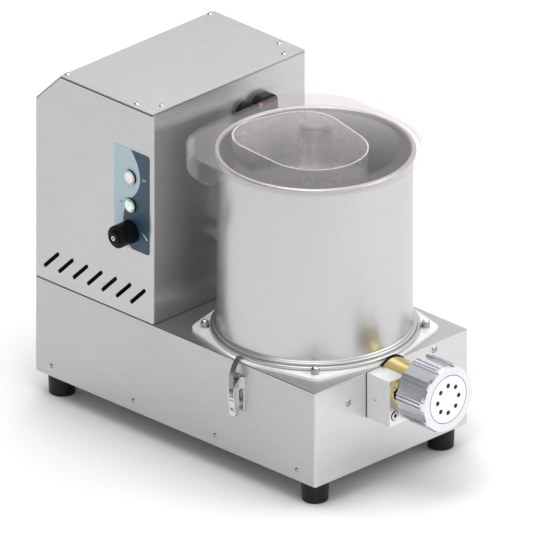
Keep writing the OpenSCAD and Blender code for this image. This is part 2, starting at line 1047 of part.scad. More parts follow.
// Bowl
module bowl_profile() {
    inner = bowl_radius - bowl_sheet;
    low = [bowl_ring_radius - bowl_low_bead, flange_thickness + bowl_low_bead];
    high = [bowl_radius + bowl_high_bead, low[1] + bowl_low_bead + bowl_high_bead / 2];
    blend = high[1] + 2 * bowl_high_bead - bead_blend;
    translate([inner, bowl_floor_height])
        square([bowl_sheet, rim_height - rim_bead - bowl_floor_height]);
    translate([bowl_radius, rim_height - rim_bead])
        circle(r = rim_bead);
    translate([0, bowl_floor_height])
        square([inner + bowl_sheet / 2, bowl_sheet]);
    translate(low)
        circle(r = bowl_low_bead);
    translate(high)
        circle(r = bowl_high_bead);
    difference() {
        polygon([
            [inner, flange_thickness],
            [low[0], flange_thickness],
            low,
            high,
            [high[0], blend],
            [inner, blend]
        ]);
        translate([high[0], blend])
            circle(r = bowl_high_bead);
    }
}

module intake_cut(z, height) {
    translate([-intake_width / 2, -intake_length / 2, z])
        cube([intake_width, intake_length, height]);
}

module bowl() {
    color("silver") at_bowl() difference() {
        rotate_extrude()
            bowl_profile();
        intake_cut(bowl_floor_height - over, bowl_sheet + 2 * over);
        forwards(bowl_radius + over, mixer_rise)
            cylinder(r = sleeve_radius + snug, h = 2 * bowl_sheet + 2 * over);
    }
}

module bowl_flange() {
    corner = bowl_ring_radius + flange_corner_reach - flange_corner_radius;
    color("white") at_bowl() difference() {
        linear_extrude(height = flange_thickness)
            for (turn = [45:90:315])
                belt(
                    [0, 0], bowl_ring_radius + flange_margin,
                    polar(corner, turn), flange_corner_radius
                );
        translate([0, 0, -over])
            cylinder(r = flange_opening, h = flange_thickness + 2 * over);
        translate([0, 0, -over])
            flange_screw_at()
                cylinder(r = flange_shank + snug, h = flange_thickness + 2 * over);
    }
}

module flange_screws() {
    color("silver") at_bowl()
        translate([0, 0, flange_thickness])
            flange_screw_at()
                rotate_extrude()
                    dome_nut_profile();
}

// Domed nut with a plain collar, and the stud inside it
module dome_nut_profile() {
    translate([0, -screw_grip])
        square([flange_shank, screw_grip + over]);
    square([flange_screw_head, flange_nut_collar]);
    translate([0, flange_nut_collar])
        intersection() {
            circle(r = flange_screw_head);
            square(flange_screw_head);
        }
}

// Kneading tub: a wall with a round front and two lobes at the back
module tub_outline(inset) {
    left = tub_radius * tub_left_shares;
    right = tub_radius * tub_right_shares;
    hull() {
        circle(r = tub_radius - inset, $fn = tub_faces);
        translate([left[0], left[1]])
            circle(r = left[2] - inset, $fn = tub_faces);
        translate([right[0], right[1]])
            circle(r = right[2] - inset, $fn = tub_faces);
    }
}

module kneading_tub() {
    color("lightgray") at_bowl() difference() {
        union() {
            translate([0, 0, tub_base])
                linear_extrude(height = rim_height - tub_base)
                    tub_outline(0);
            translate([0, 0, rim_height - tub_hem])
                linear_extrude(height = tub_hem)
                    tub_outline(-tub_hem_step);
        }
        translate([0, 0, tub_base - over])
            linear_extrude(height = rim_height + 2 * over)
                tub_outline(tub_sheet);
        forwards(bowl_radius, mixer_rise)
            cylinder(r = shaft_radius + clearance, h = bowl_radius);
    }
}

module trough() {
    color("gainsboro") at_bowl() difference() {
        translate([0, 0, tub_base])
            linear_extrude(height = mixer_rise - tub_base)
                tub_outline(tub_sheet + clearance);
        forwards(bowl_radius, mixer_rise)
            cylinder(r = trough_radius, h = 2 * bowl_radius);
        intake_cut(tub_base - over, mixer_rise);
    }
}

// Lid
module lid_outline(inset) {
    corner_x = lid_radius - lid_corner_radius;
    corner_y = lid_back - lid_corner_radius;
    circle(r = lid_radius - inset);
    translate([-lid_radius + inset, 0])
        square([2 * (lid_radius - inset), corner_y]);
    translate([-corner_x, 0])
        square([2 * corner_x, lid_back - inset]);
    for (x = [-corner_x, corner_x])
        translate([x, corner_y])
            circle(r = lid_corner_radius - inset);
}

module lid_skirt(bottom) {
    translate([0, 0, bottom])
        linear_extrude(height = lid_base - bottom)
            difference() {
                lid_outline(0);
                lid_outline(lid_wall);
            }
}

module lid_dome(radius) {
    translate([0, 0, lid_top + lid_dome_rise - dome_sphere])
        sphere(r = radius);
}

module lid() {
    back_bottom = rim_height - lid_back_drop;
    front_bottom = rim_height - lid_front_drop;
    knob_base = lid_top + lid_dome_rise + knob_seat;
    color("lightcyan", 0.4) at_bowl() {
        difference() {
            union() {
                translate([0, 0, lid_base])
                    linear_extrude(height = lid_thickness)
                        lid_outline(0);
                intersection() {
                    lid_dome(dome_sphere);
                    translate([0, 0, lid_base])
                        cylinder(r = lid_dome_radius, h = lid_dome_rise + 2 * lid_thickness);
                }
                translate([0, 0, lid_top])
                    cylinder(r = lid_knob_radius + knob_seat_margin, h = lid_dome_rise + knob_seat);
            }
            intersection() {
                lid_dome(dome_sphere - lid_thickness);
                translate([0, 0, lid_base - over])
                    cylinder(r = lid_dome_radius, h = lid_dome_rise + 2 * lid_thickness);
            }
        }
        lid_skirt(front_bottom);
        intersection() {
            lid_skirt(back_bottom);
            sideways(2 * lid_radius + 2 * over) {
                translate([lid_skirt_start, back_bottom - over])
                    square([lid_back, lid_base - back_bottom + 2 * over]);
                translate([lid_skirt_start, back_bottom + lid_sweep - bead_blend])
                    circle(r = lid_sweep);
            }
        }
    }
}

module lid_knob() {
    color("lightcyan", 0.4) at_bowl()
        translate([0, 0, lid_top + lid_dome_rise + knob_seat])
            difference() {
                rotate_extrude()
                    lid_knob_profile(lid_knob_radius, lid_knob_height, knob_round);
                translate([0, 0, -over])
                    rotate_extrude()
                        lid_knob_profile(
                            lid_knob_radius - knob_wall,
                            lid_knob_height - knob_wall + over,
                            knob_round - knob_wall
                        );
            }
}

module lid_knob_profile(radius, height, corner) {
    square([radius, height - corner]);
    square([radius - corner, height]);
    translate([radius - corner, height - corner])
        circle(r = corner);
}

// Interlock that senses the lid
module interlock_lobe(x, width, top, depth) {
    bottom = interlock_top - interlock_height;
    translate([x, 0, bottom])
        rotate([90, 0, 0])
            linear_extrude(height = depth) {
                square([width, top - bottom - interlock_round]);
                translate([width / 2, top - bottom - interlock_round])
                    belt(
                        [interlock_round - width / 2, 0], interlock_round,
                        [width / 2 - interlock_round, 0], interlock_round
                    );
            }
}

module interlock_housing() {
    color("black") in_frame()
        translate([interlock_x, tower_front, base_top]) {
            interlock_lobe(
                -interlock_left_width, interlock_left_width + over,
                interlock_top - interlock_left_step, interlock_depth * 2 / 3
            );
            interlock_lobe(0, interlock_right_width, interlock_top, interlock_depth);
        }
}

module interlock_lens() {
    color("red") in_frame()
        translate([
            interlock_x + 2 * lens_radius,
            tower_front - interlock_depth,
            base_top + interlock_top - lens_drop
        ])
            rotate([90, 0, 0])
                dome_lens();
}

module dome_lens() {
    dome = (lens_radius * lens_radius + lens_height * lens_height) / (2 * lens_height);
    intersection() {
        translate([0, 0, lens_height - dome])
            sphere(r = dome);
        cylinder(r = lens_radius, h = lens_height);
    }
}

// Latches
module latch_base(side) {
    pin_half = hook_width / 2 + clearance + latch_sheet + clearance + latch_sheet;
    color("silver") at_latch(side) {
        difference() {
            translate([0, -latch_plate_half, latch_plate_bottom])
                cube([latch_sheet, 2 * latch_plate_half, latch_plate_top - latch_plate_bottom]);
            for (end = [-1, 1])
                translate([-over, end * plate_slot_y - plate_slot_width / 2, -plate_slot_drop])
                    cube([latch_sheet + 2 * over, plate_slot_width, plate_slot_length]);
        }
        for (end = [-1, 1])
            translate([0, end * (pin_half - latch_sheet / 2), 0])
                across(latch_sheet)
                    intersection() {
                        belt(lever_pivot, ear_reach, [latch_sheet, -lever_pivot_drop], ear_half);
                        translate([0, latch_plate_bottom])
                            square(-latch_plate_bottom);
                    }
        translate([lever_pivot[0], 0, lever_pivot[1]])
            rotate([90, 0, 0])
                cylinder(r = pin_radius, h = 2 * pin_half, center = true);
    }
}

module latch_lever(side) {
    inner = hook_width / 2 + clearance;
    outer = inner + latch_sheet;
    end = lever_pivot + lever_length * [sin(lever_lean), -cos(lever_lean)];
    color("gainsboro") at_latch(side) {
        for (end_side = [-1, 1])
            translate([0, end_side * (inner + outer) / 2, 0])
                across(latch_sheet)
                    difference() {
                        union() {
                            belt(lever_pivot, lever_eye, hook_pin, lever_eye);
                            belt(hook_pin, lever_eye, end, lever_tip_radius);
                        }
                        translate(lever_pivot)
                            circle(r = pin_radius + running_fit);
                    }
        translate([hook_pin[0], 0, hook_pin[1]])
            rotate([90, 0, 0])
                cylinder(r = pin_radius, h = 2 * inner + latch_sheet, center = true);
        difference() {
            across(2 * inner + latch_sheet)
                lever_web(end);
            for (window = lever_windows)
                translate([0, -inner + clearance, lever_pivot[1] - window[0]])
                    cube([side_x, 2 * (inner - clearance), window[1]]);
        }
    }
}

// Outer wall of the lever, below the hook's eye
module lever_web(end) {
    top = [hook_pin[0] + lever_eye, hook_pin[1] - hook_eye - lever_web_gap];
    bottom = [end[0] + lever_tip_radius, end[1]];
    polygon([
        top,
        top - [latch_sheet, 0],
        bottom - [latch_sheet, 0],
        bottom - [latch_sheet, lever_tip_radius],
        bottom - [0, lever_tip_radius],
        bottom
    ]);
}

module latch_hook(side) {
    from = atan2(hook_pin[1] - hook_centre[1], hook_pin[0] - hook_centre[0]);
    to = atan2(hook_tip[1] - hook_centre[1], hook_tip[0] - hook_centre[0]);
    reach = 2 * hook_arc;
    color("dimgray") at_latch(side)
        across(hook_width)
            difference() {
                union() {
                    intersection() {
                        translate(hook_centre)
                            difference() {
                                circle(r = hook_arc + hook_thickness / 2);
                                circle(r = hook_arc - hook_thickness / 2);
                            }
                        polygon([
                            hook_centre,
                            hook_centre + polar(reach, from),
                            hook_centre + polar(reach, (from + to) / 2),
                            hook_centre + polar(reach, to)
                        ]);
                    }
                    translate([clearance - side_margin, tip_bottom])
                        square([hook_grip, hook_thickness]);
                    translate(hook_pin)
                        circle(r = hook_eye);
                }
                translate(hook_pin)
                    circle(r = pin_radius + running_fit);
            }
}

module latch_base_left() {
    latch_base(-1);
}

module latch_lever_left() {
    latch_lever(-1);
}

module latch_hook_left() {
    latch_hook(-1);
}

module latch_base_right() {
    latch_base(1);
}

module latch_lever_right() {
    latch_lever(1);
}

module latch_hook_right() {
    latch_hook(1);
}

// Extruding head
module barrel() {
    back = base_front - barrel_back;
    bowl_reach = base_front - bowl_y;
    saddle_top = auger_drop + bowl_floor_height;
    slot_start = nut_back - neck_slot_length - over;
    color("goldenrod") at_head() difference() {
        union() {
            translate([0, 0, back])
                cylinder(r = barrel_radius, h = -back + gasket_thickness + over);
            translate([0, 0, gasket_thickness])
                cylinder(r = neck_radius, h = barrel_end - gasket_thickness);
            translate([0, 0, thread_start])
                cylinder(r = thread_radius, h = barrel_end - thread_start);
            translate([
                -intake_width / 2 - saddle_wall,
                0,
                bowl_reach - intake_length / 2 - saddle_wall
            ])
                cube([intake_width + 2 * saddle_wall, saddle_top, intake_length + 2 * saddle_wall]);
        }
        translate([0, 0, back - over])
            cylinder(r = barrel_bore, h = barrel_end - back + 2 * over);
        translate([0, 0, barrel_end - chamber_depth])
            cylinder(r = chamber_radius, h = chamber_depth + over);
        translate([-intake_width / 2, 0, bowl_reach - intake_length / 2])
            cube([intake_width, saddle_top + over, intake_length]);
        translate([neck_slot_x - neck_slot_width / 2, neck_radius - neck_slot_depth, slot_start])
            cube([neck_slot_width, neck_slot_depth + over, neck_slot_length]);
    }
}

// Round with a lug at the left, cut flat below the bracket's top
module collar_outline(gap) {
    intersection() {
        union() {
            circle(r = collar_radius + gap);
            belt([0, lug_z], lug_radius + gap, [lug_x, lug_z], lug_radius + gap);
        }
        translate([-side_x, -side_x])
            square([2 * side_x, side_x + auger_drop - collar_drop + gap]);
    }
}

module barrel_collar() {
    color("goldenrod") at_head() difference() {
        translate([0, 0, collar_front - collar_thickness])
            linear_extrude(height = collar_thickness)
                collar_outline(0);
        translate([0, 0, collar_front - collar_thickness - over])
            cylinder(r = neck_radius + snug, h = collar_thickness + 2 * over);
        translate([lug_x, lug_z, collar_front])
            cap_seat();
    }
}

module collar_screw() {
    color("darkgoldenrod") at_head()
        translate([lug_x, lug_z, collar_front])
            cap_screw();
}

// Outline of the bracket, which leaves the top of the neck open at the right
module bracket_outline() {
    difference() {
        polygon([
            [-bracket_reach, auger_drop],
            [0, auger_drop],
            [0, 0],
            [bracket_reach, 0],
            [bracket_reach, auger_drop - bracket_height],
            [-bracket_reach, auger_drop - bracket_height]
        ]);
        circle(r = neck_radius + snug);
    }
}

module bracket_gasket() {
    color("black") at_head() difference() {
        union() {
            linear_extrude(height = gasket_thickness)
                bracket_outline();
            cylinder(r = neck_radius + gasket_rim, h = gasket_thickness);
        }
        translate([0, 0, -over])
            cylinder(r = neck_radius + snug, h = gasket_thickness + 2 * over);
    }
}

module head_bracket() {
    color("silver") at_head() difference() {
        translate([0, 0, gasket_thickness])
            linear_extrude(height = bracket_depth - gasket_thickness)
                bracket_outline();
        translate([0, 0, collar_front - collar_thickness])
            linear_extrude(height = collar_thickness)
                collar_outline(clearance);
        for (x = [-bracket_screw_x, bracket_screw_x])
            translate([x, auger_drop + bracket_screw_z, bracket_depth])
                cap_seat();
        translate([-bracket_reach - over, auger_drop - set_hole_drop, set_hole_front])
            rotate([0, 90, 0])
                cylinder(r = set_hole_radius, h = set_hole_depth + over);
    }
}

module bracket_screws() {
    color("silver") at_head()
        for (x = [-bracket_screw_x, bracket_screw_x])
            translate([x, auger_drop + bracket_screw_z, bracket_depth])
                cap_screw();
}

module ring_nut() {
    lip_bore = die_face_radius + clearance;
    side = nut_length - nut_rim;
    color("lightsteelblue") at_head() translate([0, 0, nut_back]) difference() {
        intersection() {
            rotate_extrude()
                polygon([
                    [nut_bore, 0],
                    [nut_radius - nut_chamfer, 0],
                    [nut_radius, nut_chamfer],
                    [nut_radius, nut_length - nut_chamfer],
                    [nut_radius - nut_chamfer, nut_length],
                    [lip_bore, nut_length],
                    [lip_bore, nut_length - nut_lip],
                    [nut_bore, nut_length - nut_lip]
                ]);
            union() {
                rotate([0, 0, groove_turn])
                    translate([0, 0, -over])
                        cylinder(
                            r = (nut_radius - nut_facet_depth) / cos(180 / nut_pads),
                            h = side + 2 * over,
                            $fn = nut_pads
                        );
                translate([0, 0, side])
                    cylinder(r = nut_radius - nut_lobe, h = nut_rim + over);
                at_ribs()
                    translate([0, -rib_width / 2, -over])
                        cube([nut_radius + over, rib_width, nut_length + 2 * over]);
            }
        }
        at_ribs()
            for (y = [-groove_spread, groove_spread])
                translate([nut_radius - groove_depth, y - groove_width / 2, -over])
                    cube([groove_depth + over, groove_width, side + over]);
    }
}

module at_ribs() {
    for (i = [0:nut_pads - 1])
        rotate([0, 0, i * 360 / nut_pads + groove_turn])
            children();
}

module die_plate() {
    flange_back = barrel_end + clearance;
    color("white") at_head() difference() {
        union() {
            translate([0, 0, flange_back])
                cylinder(r = nut_bore - clearance, h = die_flange);
            translate([0, 0, flange_back])
                cylinder(r = die_face_radius, h = nut_reach - flange_back);
        }
        for (i = [0:die_holes - 1])
            rotate([0, 0, 90 + i * 360 / die_holes])
                translate([die_hole_circle, 0, 0]) {
                    translate([0, 0, flange_back - over])
                        cylinder(r = die_nozzle_radius, h = nut_reach);
                    translate([0, 0, flange_back + die_nozzle_depth])
                        cylinder(r = die_hole_radius, h = nut_reach);
                }
    }
}

// Auger
module auger() {
    back = base_front - bowl_y - intake_length / 2 - saddle_wall;
    length = auger_end - back;
    turns = length / auger_pitch;
    color("silver") at_head()
        translate([0, 0, back])
            linear_extrude(
                height = length,
                twist = -360 * turns,
                slices = round(turns * auger_steps_per_turn),
                $fn = 2 * auger_faces
            )
                auger_section();
}

// Round core with one flight
module auger_section() {
    swing = asin(auger_blade / (2 * auger_radius));
    circle(r = auger_core, $fn = auger_faces);
    polygon([
        [0, -auger_blade / 2],
        polar(auger_radius, -swing),
        [auger_radius, 0],
        polar(auger_radius, swing),
        [0, auger_blade / 2]
    ]);
}

module auger_shaft() {
    back = base_front - bowl_y - intake_length / 2 - saddle_wall;
    rear = base_front - frame_back - shaft_proud;
    color("silver") at_head()
        translate([0, 0, rear])
            cylinder(r = shaft_radius, h = back - rear);
}

module auger_bearing() {
    back = base_front - barrel_back;
    color("goldenrod") at_head() difference() {
        union() {
            translate([0, 0, back - bearing_flange])
                cylinder(r = bearing_flange_radius, h = bearing_flange);
            translate([0, 0, back - bearing_flange])
                cylinder(r = barrel_bore - snug, h = bearing_length);
        }
        translate([0, 0, back - bearing_flange - over])
            cylinder(r = shaft_radius + running_fit, h = bearing_length + 2 * over);
    }
}

// Drive
module gear(teeth, start, bore) {
    linear_extrude(height = gear_width)
        difference() {
            polygon(gear_points(teeth, start));
            circle(r = bore);
        }
}

module auger_gear() {
    color("darkgray") in_frame()
        forwards(gear_front + gear_width, auger_z)
            gear(gear_teeth, 90, shaft_radius + snug);
}

module mixer_gear() {
    color("darkgray") in_frame()
        forwards(gear_front + gear_width, mixer_z)
            gear(gear_teeth, 270 + 180 / gear_teeth, shaft_radius + snug);
}

module drive_pinion() {
    shaft_back = frame_back + motor_shaft_depth;
    color("darkgray") in_frame() {
        forwards(gear_front + gear_width, motor_z)
            gear(pinion_teeth, 270, 0);
        forwards(shaft_back, motor_z)
            cylinder(r = motor_shaft_radius, h = shaft_back - gear_front - gear_width + over);
    }
}

module drive_frame() {
    top = motor_z + motor_shaft_radius + frame_top_margin;
    color("lightgray") in_frame() difference() {
        union() {
            translate([-frame_half, frame_front, floor_z])
                cube([2 * frame_half, frame_thickness, top - floor_z]);
            forwards(frame_back, motor_z)
                cylinder(r = motor_radius, h = frame_thickness);
            translate([-frame_half, frame_front, floor_z])
                cube([2 * frame_half, frame_foot, frame_thickness]);
        }
        for (z = [auger_z, mixer_z])
            forwards(frame_back + over, z)
                cylinder(r = shaft_radius + running_fit, h = frame_thickness + 2 * over);
        forwards(frame_back + over, motor_z)
            cylinder(r = motor_shaft_radius + running_fit, h = frame_thickness + 2 * over);
    }
}

module motor() {
    back = frame_back + motor_length;
    color("dimgray") in_frame() difference() {
        union() {
            forwards(back, motor_z)
                cylinder(r = motor_radius, h = motor_length);
            forwards(back + motor_cap_length, motor_z)
                cylinder(r = motor_cap_radius, h = motor_cap_length);
        }
        forwards(frame_back + motor_shaft_depth + over, motor_z)
            cylinder(r = motor_shaft_radius + clearance, h = motor_shaft_depth + 2 * over);
    }
}

// Mixer: a level shaft with flat arms that end in slanted paddles
module mixing_arm() {
    tub_front = bowl_y - tub_radius + tub_sheet;
    front = tub_front + mixer_front_gap;
    back = frame_back + shaft_proud;
    first = front + paddle_length;
    last = bowl_y + tub_radius - paddle_height;
    color("silver") in_frame() {
        forwards(back, mixer_z)
            cylinder(r = shaft_radius, h = back - front);
        for (i = [0:arm_count - 1]) {
            middle = first + (last - first) * i / (arm_count - 1);
            forwards(middle, mixer_z)
                rotate([0, 0, i * 360 / arm_count])
                    mixer_arm(paddle_reach(middle - bowl_y));
        }
    }
}

module mixer_arm(reach) {
    arm = reach - paddle_height / 2;
    translate([0, -arm_width / 2, -arm_thickness / 2])
        cube([arm, arm_width, arm_thickness]);
    intersection() {
        translate([reach - paddle_height, 0, 0])
            rotate([paddle_turn, 0, 0])
                translate([0, -arm_thickness / 2, -paddle_length / 2])
                    cube([paddle_height, arm_thickness, paddle_length]);
        translate([0, 0, -paddle_length])
            cylinder(r = reach, h = 2 * paddle_length);
    }
}

module mixer_sleeve() {
    front = bowl_y + bowl_radius - bowl_sheet;
    color("darkgray") in_frame() difference() {
        union() {
            forwards(tower_front, mixer_z)
                cylinder(r = sleeve_radius, h = tower_front - front);
            forwards(tower_front, mixer_z)
                cylinder(r = sleeve_flange_radius, h = sleeve_flange);
        }
        forwards(tower_front + over, mixer_z)
            cylinder(r = shaft_radius + running_fit, h = tower_front - front + 2 * over);
    }
}

module control_board() {
    wall = side_x - sheet;
    low_y = tower_front + board_inset;
    low_z = base_top + board_rise;
    color("seagreen") in_frame() {
        translate([wall - standoff_length - board_thickness, low_y, low_z])
            cube([board_thickness, board_width, board_height]);
        for (y = [board_edge, board_width - board_edge])
            for (z = [board_edge, board_height - board_edge])
                translate([wall - standoff_length, low_y + y, low_z + z])
                    rotate([0, 90, 0])
                        cylinder(r = standoff_radius, h = standoff_length);
        translate([
            wall - standoff_length - board_thickness - board_part,
            low_y + board_edge,
            low_z + board_height / 2
        ])
            cube([board_part, board_part, board_part]);
    }
}

module cable_gland() {
    color("black") in_frame()
        translate([gland_x, base_back, foot_height + gland_rise])
            rotate([-90, 0, 0])
                difference() {
                    union() {
                        translate([0, 0, -gland_grip])
                            cylinder(r = gland_thread, h = gland_grip);
                        cylinder(r = gland_nut, h = gland_nut_height, $fn = 6);
                        translate([0, 0, gland_nut_height])
                            cylinder(
                                r1 = gland_nut * cos(30) - over,
                                r2 = gland_bore * slope_share,
                                h = gland_dome_height
                            );
                    }
                    translate([0, 0, -gland_grip - over])
                        cylinder(r = gland_bore, h = gland_grip + gland_reach + 2 * over);
                }
}

base_housing();
bottom_plate();
foot_front_left();
foot_front_right();
foot_back_left();
foot_back_right();
tower_shell();
top_cover();
cover_screws();
side_screws();
control_label();
off_bezel();
off_button();
on_bezel();
on_button();
on_light_ring();
speed_knob();
knob_insert();
speed_control();
bowl();
bowl_flange();
flange_screws();
kneading_tub();
trough();
lid();
lid_knob();
interlock_housing();
interlock_lens();
latch_base_left();
latch_lever_left();
latch_hook_left();
latch_base_right();
latch_lever_right();
latch_hook_right();
barrel();
barrel_collar();
bracket_gasket();
head_bracket();
bracket_screws();
collar_screw();
ring_nut();
die_plate();
auger();
auger_shaft();
auger_bearing();
auger_gear();
mixing_arm();
mixer_sleeve();
mixer_gear();
drive_pinion();
drive_frame();
motor();
control_board();
cable_gland();
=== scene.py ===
"""Electric pasta maker: finishes, small trim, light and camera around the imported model."""

import math

import bmesh
import bpy
from mathutils import Matrix, Vector


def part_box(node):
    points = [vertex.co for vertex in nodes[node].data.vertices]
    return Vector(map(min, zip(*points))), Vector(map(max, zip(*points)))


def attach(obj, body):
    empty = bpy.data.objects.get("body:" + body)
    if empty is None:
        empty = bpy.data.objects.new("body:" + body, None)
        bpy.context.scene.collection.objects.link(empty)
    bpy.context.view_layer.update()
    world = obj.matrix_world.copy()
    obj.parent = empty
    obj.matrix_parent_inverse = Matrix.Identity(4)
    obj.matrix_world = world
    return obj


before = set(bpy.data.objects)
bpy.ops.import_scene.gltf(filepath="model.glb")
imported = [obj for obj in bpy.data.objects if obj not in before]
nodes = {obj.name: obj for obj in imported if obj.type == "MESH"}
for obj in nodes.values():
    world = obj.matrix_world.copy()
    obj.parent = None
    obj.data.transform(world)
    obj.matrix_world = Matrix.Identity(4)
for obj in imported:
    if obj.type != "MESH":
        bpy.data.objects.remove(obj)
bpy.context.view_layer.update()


def middle_of(node):
    low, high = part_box(node)
    return (low + high) / 2


# Places that the finishes and the trim are set out from, in metres
TOWER_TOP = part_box("tower_shell")[1].z
BASE_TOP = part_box("base_housing")[1].z
LABEL_LOW, LABEL_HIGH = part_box("control_label")
KNOB_LOW, KNOB_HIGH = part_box("speed_knob")
KNOB_AXIS = middle_of("speed_knob")
BOWL_AXIS = middle_of("bowl")
NUT_AXIS = middle_of("ring_nut")

# Noise mostly stays between these two values
NOISE_LOW = 0.3
NOISE_HIGH = 0.7

# Waves a metre of the level grain on sheet, where a face looks to the side or to the front
SIDE_GRAIN = (300, 26, 520)
FRONT_GRAIN = (26, 300, 520)


# Building blocks for the finishes


def grey(tone):
    return (tone, tone, tone)


def set_inputs(tree, node, inputs):
    """Sets inputs of a node, each to a value or to another node's output."""
    for name, value in inputs.items():
        socket = node.inputs[name]
        if isinstance(value, bpy.types.NodeSocket):
            tree.links.new(value, socket)
        else:
            socket.default_value = value


def add_node(tree, kind, inputs=None, **settings):
    """A new node with its inputs and its settings."""
    node = tree.nodes.new(kind)
    for name, value in settings.items():
        setattr(node, name, value)
    set_inputs(tree, node, inputs or {})
    return node


def start_finish(name):
    """A new material with one Principled shader. Returns the material, its tree and the shader."""
    material = bpy.data.materials.new(name)
    material.use_nodes = True
    tree = material.node_tree
    tree.nodes.clear()
    shader = add_node(tree, "ShaderNodeBsdfPrincipled")
    add_node(tree, "ShaderNodeOutputMaterial", {"Surface": shader.outputs[0]})
    return material, tree, shader


def place_on_piece(tree, scale=(1, 1, 1), centre=(0, 0, 0), turn=(0, 0, 0)):
    """Object coordinates about a centre, stretched by a scale."""
    place = add_node(tree, "ShaderNodeTexCoord").outputs["Object"]
    moved = add_node(
        tree, "ShaderNodeVectorMath", {0: place, 1: tuple(centre)}, operation="SUBTRACT"
    )
    mapping = add_node(
        tree,
        "ShaderNodeMapping",
        {"Vector": moved.outputs[0], "Rotation": turn, "Scale": scale},
    )
    return mapping.outputs[0]


def place_along(tree, axis):
    """Object coordinate along one axis."""
    place = add_node(tree, "ShaderNodeTexCoord").outputs["Object"]
    return add_node(tree, "ShaderNodeSeparateXYZ", {0: place}).outputs[axis]


def noise(tree, vector, detail):
    made = add_node(
        tree, "ShaderNodeTexNoise", {"Vector": vector, "Scale": 1.0, "Detail": detail}
    )
    return made.outputs["Fac"]


def even_noise(tree, fineness, detail):
    """Noise with the same number of waves a metre in all directions."""
    return noise(tree, place_on_piece(tree, (fineness, fineness, fineness)), detail)


def spread(tree, value, low, high, start=0.0, end=1.0):
    """Value spread from start..end to low..high."""
    made = add_node(
        tree,
        "ShaderNodeMapRange",
        {"Value": value, "From Min": start, "From Max": end, "To Min": low, "To Max": high},
    )
    return made.outputs[0]


def spread_noise(tree, value, low, high):
    return spread(tree, value, low, high, NOISE_LOW, NOISE_HIGH)


def calculate(tree, operation, first, second=0.0):
    made = add_node(tree, "ShaderNodeMath", {0: first, 1: second}, operation=operation)
    return made.outputs[0]


def blend_colours(tree, share, first, second):
    """Colour between two, each given as three values or as a node's output."""
    first, second = (
        value if isinstance(value, bpy.types.NodeSocket) else (*value, 1)
        for value in (first, second)
    )
    made = add_node(
        tree, "ShaderNodeMix", {"Factor": share, 6: first, 7: second}, data_type="RGBA"
    )
    return made.outputs[2]


def vary_tone(tree, tone, share, darkest, lightest, lift=0.0):
    """Colour that a share moves between a darker and a lighter version of a tone."""
    dark = tuple(c * darkest for c in tone)
    light = tuple(min(1.0, c * lightest + lift) for c in tone)
    return blend_colours(tree, share, dark, light)


def raise_bumps(tree, shader, height, depth, strength):
    bump = add_node(
        tree,
        "ShaderNodeBump",
        {"Height": height, "Distance": depth, "Strength": strength},
    )
    set_inputs(tree, shader, {"Normal": bump.outputs[0]})


def face_direction(tree):
    """How far each face looks along X, Y and Z, as three values from 0 to 1."""
    facing = add_node(tree, "ShaderNodeNewGeometry").outputs["True Normal"]
    size = add_node(
        tree, "ShaderNodeVectorMath", {0: facing}, operation="ABSOLUTE"
    ).outputs[0]
    return add_node(tree, "ShaderNodeSeparateXYZ", {0: size}).outputs


def brush_level(tree, shader, amount):
    """Spreads the gloss upright, as a level brushed grain does."""
    facing = add_node(tree, "ShaderNodeNewGeometry").outputs["True Normal"]
    # The small tilt gives level faces a direction too
    tilted = add_node(
        tree, "ShaderNodeVectorMath", {0: facing, 1: (0, 0.01, 0)}, operation="ADD"
    ).outputs[0]
    level = add_node(
        tree, "ShaderNodeVectorMath", {0: tilted, 1: (0, 0, 1)}, operation="CROSS_PRODUCT"
    ).outputs[0]
    set_inputs(tree, shader, {"Tangent": level, "Anisotropic": amount})


def colour_so_far(shader):
    return shader.inputs["Base Color"].links[0].from_socket


def darken_bands(tree, shader, axis, centre, bands):
    """Darkens thin bands round an axis, each given by its radius and its width."""
    flat = [1, 1, 1]
    flat["XYZ".index(axis)] = 0
    place = place_on_piece(tree, tuple(flat), centre)
    reach = add_node(
        tree, "ShaderNodeVectorMath", {0: place}, operation="LENGTH"
    ).outputs["Value"]
    colour = colour_so_far(shader)
    for radius, width in bands:
        away = calculate(tree, "ABSOLUTE", calculate(tree, "SUBTRACT", reach, radius))
        share = spread(tree, away, 1, 0, width * 0.35, width * 0.65)
        colour = blend_colours(tree, share, colour, grey(0.03))
    set_inputs(tree, shader, {"Base Color": colour})


def paint_side_shade(tree, shader, axis, tone):
    """Paints shade on the faces that look away from an axis: painted dark reflections round a
    polished head, and painted shade in a hole.
    """
    share = spread(tree, face_direction(tree)[axis], 1, 0, 0.5, 0.9)
    colour = blend_colours(tree, share, colour_so_far(shader), tone)
    set_inputs(tree, shader, {"Base Color": colour})


# Finishes


